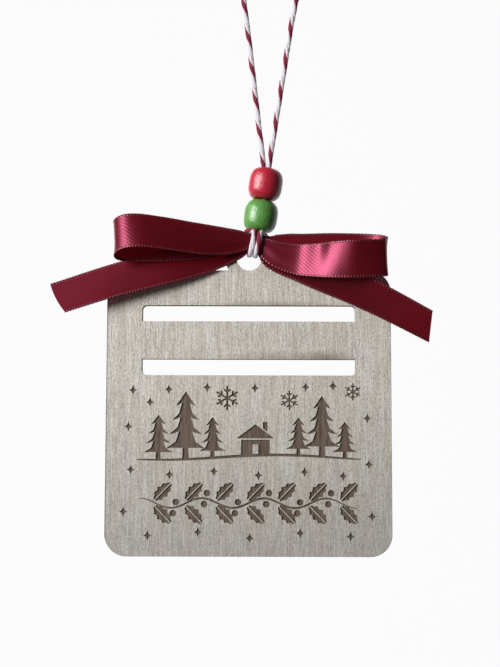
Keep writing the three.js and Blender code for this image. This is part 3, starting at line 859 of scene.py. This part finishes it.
def knot():
    """Barrel knot: a tail, two and a half wraps round the loop's cord and the other tail."""
    WRAPS = 2.5
    WRAP_STEPS = 12
    WRAP_RADIUS = 2.02
    WRAP_PITCH = 1.9
    centre = arch_point(KNOT_TURN)
    along = Vector((math.cos(KNOT_TURN), 0, -math.sin(KNOT_TURN)))
    out = Vector((math.sin(KNOT_TURN), 0, math.cos(KNOT_TURN)))
    deep = Vector((0, 1, 0))
    points = []
    count = round(WRAPS * WRAP_STEPS)
    for i in range(count + 1):
        turn = 2 * math.pi * i / WRAP_STEPS
        drift = WRAP_PITCH * (i / WRAP_STEPS - WRAPS / 2)
        points.append(centre + along * drift + WRAP_RADIUS * (out * math.cos(turn) + deep * math.sin(turn)))
    first = points[0] - along * 2.4 + out * 0.9 - deep * 1.2
    last = points[-1] + along * 2.4 + deep * 1.2 - out * 0.6
    tail = [first - along * 3.4 + out * 1.6, first]
    end = [last, last + along * 3.6 - out * 1.4]
    mesh, _ = twisted_cord("barrel_knot", [*tail, *points, *end], KNOT_PHASE)
    piece = new_piece("barrel_knot", mesh, (white_ply, red_ply), "hanger")
    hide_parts("loop_knot")
    return piece


def hanging_loop(knot_piece):
    """The free loop above the beads."""
    mesh, path = twisted_cord("twisted_loop", loop_route(), LOOP_PHASE)
    loop = new_piece("twisted_loop", mesh, (white_ply, red_ply), None)
    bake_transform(loop)
    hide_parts("hanging_loop")


# Ribbon: its route from the left tail's end to the right tail's end, in hundredths of the ribbon's width.
# Each stop gives the strip's middle from the waist's, its layer, how far it bulges forward of that layer, how
# far it opens from the waist's width, 0, to the full width, 1, and how far its upper edge slants to the right
# and tips forward, in degrees.
BOW_ROUTE = (
    (-546, -162, 0, 20, 1, 22, -18), (-396, -113, 0, 17, 1, 17, -17), (-246, -72, 0, 13, 0.99, 15, -13),
    (-144, -45, 0, 6, 0.87, 13, -6), (-57, -19, 0, 1, 0.5, 9, 0), (0, 0, 0, 0, 0, 4, 0),
    (45, -17, 0, 0, 0.61, 2, 0), (100, -27, 0, 2, 0.96, 0, 0), (218, -28, 0, 7, 1, 0, 2),
    (305, -31, 0, 13, 1, 0, 4), (341, -36, 0, 26, 1, -2, 5), (358, -45, 0, 46, 1, -2, 5),
    (354, -53, 2, 60, 1, -2, 5), (336, -57, 2, 70, 1, -1, 6), (305, -59, 2, 77, 1, 0, 8),
    (268, -61, 2, 80, 1, 2, 10), (234, -61, 2, 72, 0.99, 3, 7), (202, -60, 2, 58, 0.95, 4, 1),
    (171, -58, 2, 38, 0.92, 5, -8), (139, -56, 2, 25, 0.86, 7, -6), (116, -53, 2, 16, 0.8, 8, -6),
    (61, -38, 2, 7, 0.6, 10, -4), (25, -17, 2, 2, 0.3, 6, 0), (0, 0, 2, 0, 0, 4, 0),
    (-38, -1, 2, 2, 0.36, -3, 0), (-89, -2, 2, 13, 0.67, -5, -8), (-160, 2, 2, 31, 0.92, -6, -17),
    (-254, 13, 2, 56, 1, -6, -20), (-317, 18, 2, 69, 1, -5, -19), (-358, 16, 2, 65, 1, -4, -16),
    (-382, 8, 2, 50, 1, -4, -15), (-388, 0, 2, 33, 1, -4, -12), (-380, -6, 1, 24, 1, -3, -7),
    (-357, -9, 1, 16, 1, -2, -2), (-302, -10, 1, 13, 1, 0, 2), (-191, -9, 1, 8, 0.87, 0, 2),
    (-81, -5, 1, 2, 0.43, 0, 0), (0, 0, 1, 0, 0, 10, 0), (51, -37, 1, 0, 0.72, 18, 0),
    (142, -71, 1, 7, 0.94, 25, 7), (242, -117, 1, 22, 1, 26, 30), (344, -168, 1, 29, 1, 27, 40),
    (480, -240, 1, 31, 1, 26, 46),
)


def across_at(slant, tip):
    """Direction across the strip, towards its upper edge."""
    lean, nod = math.radians(slant), math.radians(tip)
    return Vector((math.sin(lean) * math.cos(nod), -math.sin(nod), math.cos(lean) * math.cos(nod)))


bow_unit = RIBBON_WIDTH / 100
bow_middle = [
    Vector((WAIST_X + bow_unit * x, LAYER_DEPTHS[layer] - bow_unit * bulge, WAIST_Z + bow_unit * z))
    for x, z, layer, bulge, *_ in BOW_ROUTE
]
bow_opening = [Vector((stop[4], 0, 0)) for stop in BOW_ROUTE]
bow_across = [across_at(*stop[5:]) for stop in BOW_ROUTE]


def cut_slope(degrees, from_end):
    """Slope of the cut at an end of the strip, fading out over the ribbon's width."""
    return math.tan(math.radians(degrees)) * max(0, 1 - from_end / RIBBON_WIDTH)


def strip_rings(steps):
    """Each step's middle, directions, width, pleat and the cut's skew and curve, and the strip's length."""
    NUDGE = 0.01
    stops, length = even_stops(bow_middle, steps)
    last = len(bow_middle) - 1
    rings = []
    for i, t in enumerate(stops):
        middle = spline(bow_middle, t)
        ahead, behind = min(t + NUDGE, last), max(t - NUDGE, 0)
        along = (spline(bow_middle, ahead) - spline(bow_middle, behind)).normalized()
        up = spline(bow_across, t)
        up = (up - along * up.dot(along)).normalized()
        width = WAIST_WIDTH + (RIBBON_WIDTH - WAIST_WIDTH) * min(1, spline(bow_opening, t).x)
        reach = (abs(middle.x - WAIST_X) / PLEAT_REACH) ** 2
        pleat = PLEAT_DEPTH * reach * math.exp(1 - reach)
        run = length * i / steps
        skew = cut_slope(LEFT_CUT, run) + cut_slope(RIGHT_CUT, length - run)
        curve = LEFT_CUT_CURVE * max(0, 1 - run / RIBBON_WIDTH)
        rings.append((middle, along, up, width, pleat, skew, curve))
    return rings, length


def strip_point(ring, share):
    """A point of the strip, with share from -0.5 at its lower edge to 0.5 at its upper edge."""
    PLEATS = 2
    middle, along, up, width, pleat, skew, curve = ring
    fold = Vector((0, pleat * (1 + math.cos(2 * math.pi * PLEATS * share)) / 2, 0))
    return middle + (up - along * skew) * width * share - along * curve * (1 - 4 * share ** 2) - fold


def satin_bow():
    """The ribbon as one strip, laid along its route, with its length and width in mm as its UV map."""
    STEPS = 640
    CUTS = 24
    rings, length = strip_rings(STEPS)
    bm = bmesh.new()
    bmesh.ops.create_grid(bm, x_segments=STEPS, y_segments=CUTS, size=1)
    uv = bm.loops.layers.uv.new("strip")
    for face in bm.faces:
        for corner in face.loops:
            flat = corner.vert.co
            corner[uv].uv = ((flat.x + 1) / 2 * length, flat.y / 2 * RIBBON_WIDTH)
    for vert in bm.verts:
        step = round((vert.co.x + 1) / 2 * STEPS)
        vert.co = placed(*strip_point(rings[step], vert.co.y / 2))
    bow = new_piece("satin_bow", mesh_of(bm, "satin_bow"), (satin_weave, cut_end), "hanger")
    thick = bow.modifiers.new("thickness", "SOLIDIFY")
    thick.thickness = RIBBON_THICKNESS * MM
    thick.offset = 0
    thick.material_offset_rim = 1
    crisp = bow.modifiers.new("crisp_rim", "EDGE_SPLIT")
    crisp.split_angle = math.radians(60)
    edges = woven_edges()
    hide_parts("ribbon_bow")


def woven_edges():
    """Thread along both edges of the ribbon, where the weft turns back in one stitch after another."""
    STEP = STITCH_SPACING / 6
    SIDES = 6
    OUT, THICK, INSET = 0.58, 0.23, 0.3
    SWELL = 0.15
    length = strip_rings(1)[1]
    rings = strip_rings(round(length / STEP))[0]
    bm = bmesh.new()
    uv = bm.loops.layers.uv.new("stitches")
    for share in (-0.5, 0.5):
        made = bmesh.ops.create_grid(bm, x_segments=len(rings) - 1, y_segments=SIDES, size=1)["verts"]
        for face in {face for vert in made for face in vert.link_faces}:
            for corner in face.loops:
                corner[uv].uv = ((corner.vert.co.x + 1) / 2 * (len(rings) - 1) * STEP / STITCH_SPACING, share)
        for vert in made:
            i = round((vert.co.x + 1) / 2 * (len(rings) - 1))
            turn = math.pi * (vert.co.y + 1)
            ring = rings[i]
            along, up, width = ring[1:4]
            inside = share * (1 - 2 * INSET / width)
            swell = 1 - SWELL + SWELL * math.cos(2 * math.pi * i * STEP / STITCH_SPACING)
            round_thread = up * OUT * math.cos(turn) + along.cross(up) * THICK * math.sin(turn)
            vert.co = placed(*(strip_point(ring, inside) + swell * round_thread))
    close_tubes(bm)
    return new_piece("woven_edges", mesh_of(bm, "woven_edges"), (selvedge,), "hanger")


# Studio

BACKGROUND = "#fafafa"
ROOM = "#484848"
FLOOR_Z = -0.6
FLOOR_FRONT = 0.4
FLOOR_HALF_WIDTH = 3
# Steps from the floor's front edge to the backdrop's top
FLOOR_SWEEP = ((0, 0.6, 0), (0, 0.15, 0.04), (0, 0.11, 0.11), (0, 0.04, 0.15), (0, 0, 2.5))
# Each lamp's direction from the point that it faces, which is in mm, its distance, width, height and watts
LAMP_AIM = (0, 0, -30)
LAMPS = {
    "window": ((-0.745, -0.61, 0.27), 1.2, 0.6, 0.6, 20.5),
    "back": ((-0.35, 0.9, 0.3), 0.9, 0.6, 0.6, 3.8),
}


def room():
    """Dim room round the object, white where the camera looks past the backdrop."""
    world = bpy.data.worlds.new("room")
    bpy.context.scene.world = world
    world.use_nodes = True
    tree = world.node_tree
    rays = add(tree, "LightPath")
    seen = add(tree, "Math", {0: rays.outputs["Is Camera Ray"], 1: rays.outputs["Is Transmission Ray"]},
               operation="MAXIMUM")
    shade = add(tree, "Mix", {0: seen.outputs[0], 6: hex_colour(ROOM), 7: hex_colour(BACKGROUND)},
                data_type="RGBA")
    tree.links.new(shade.outputs[2], tree.nodes["Background"].inputs["Color"])


def backdrop_paper():
    # Matt white paper that keeps the object's shadow and reads as plain white to the eye and in reflections
    material, tree, principled = new_material("backdrop_paper", roughness=0.9, emission_strength=1,
                                              base_color=hex_colour("#505050"))
    rays = add(tree, "LightPath")
    mirrored = add(tree, "Math", {0: rays.outputs["Is Glossy Ray"], 1: rays.outputs["Is Transmission Ray"]},
                   operation="MAXIMUM")
    seen = add(tree, "Math", {0: rays.outputs["Is Camera Ray"], 1: mirrored.outputs[0]}, operation="MAXIMUM")
    glow = add(tree, "Mix", {0: seen.outputs[0], 6: hex_colour("#000000"), 7: hex_colour("#f7f7f7")},
               data_type="RGBA")
    tree.links.new(glow.outputs[2], principled.inputs["Emission Color"])
    return material


def floor():
    """Pale floor that sweeps up into a backdrop."""
    bm = bmesh.new()
    sides = (-FLOOR_HALF_WIDTH, FLOOR_HALF_WIDTH)
    edges = [bm.edges.new([bm.verts.new((x, FLOOR_FRONT, FLOOR_Z)) for x in sides])]
    for offset in FLOOR_SWEEP:
        made = bmesh.ops.extrude_edge_only(bm, edges=edges)["geom"]
        verts = [part for part in made if isinstance(part, bmesh.types.BMVert)]
        edges = [part for part in made
                 if isinstance(part, bmesh.types.BMEdge) and set(part.verts) <= set(verts)]
        bmesh.ops.translate(bm, verts=verts, vec=offset)
    bmesh.ops.recalc_face_normals(bm, faces=bm.faces)
    new_piece("floor", mesh_of(bm, "floor"), (backdrop_paper(),))


def lamps():
    """Window on the left and a weak soft lamp behind, which the camera doesn't see."""
    for name, (direction, distance, width, height, power) in LAMPS.items():
        lamp = bpy.data.lights.new(name, "AREA")
        lamp.shape = "RECTANGLE"
        lamp.size, lamp.size_y = width, height
        lamp.energy = power
        holder = bpy.data.objects.new(name, lamp)
        towards = Vector(direction).normalized()
        holder.location = placed(*LAMP_AIM) + towards * distance
        holder.rotation_euler = towards.to_track_quat("Z", "Y").to_euler()
        holder.visible_camera = False
        bpy.context.scene.collection.objects.link(holder)


def camera():
    """The photograph's view."""
    lens = bpy.data.cameras.new("camera")
    lens.sensor_width = SENSOR
    lens.lens = FOCAL_PX * SENSOR / PHOTO_HEIGHT_PX
    lens.clip_start = 0.01
    holder = bpy.data.objects.new("camera", lens)
    pitch = math.radians(CAMERA_PITCH)
    ahead = Vector((0, math.cos(pitch), math.sin(pitch)))
    holder.location = placed(*CAMERA_AIM) - ahead * CAMERA_DISTANCE * MM
    holder.rotation_euler = (math.pi / 2 + pitch, math.radians(CAMERA_ROLL), 0)
    bpy.context.scene.collection.objects.link(holder)
    bpy.context.scene.camera = holder


bpy.context.scene.view_settings.view_transform = "Standard"
camera()
room()
floor()
lamps()
hanging_loop(knot())
hitch()
engraved_tag()
turned_bead("red_bead", red_paint)
turned_bead("green_bead", green_paint)
satin_bow()
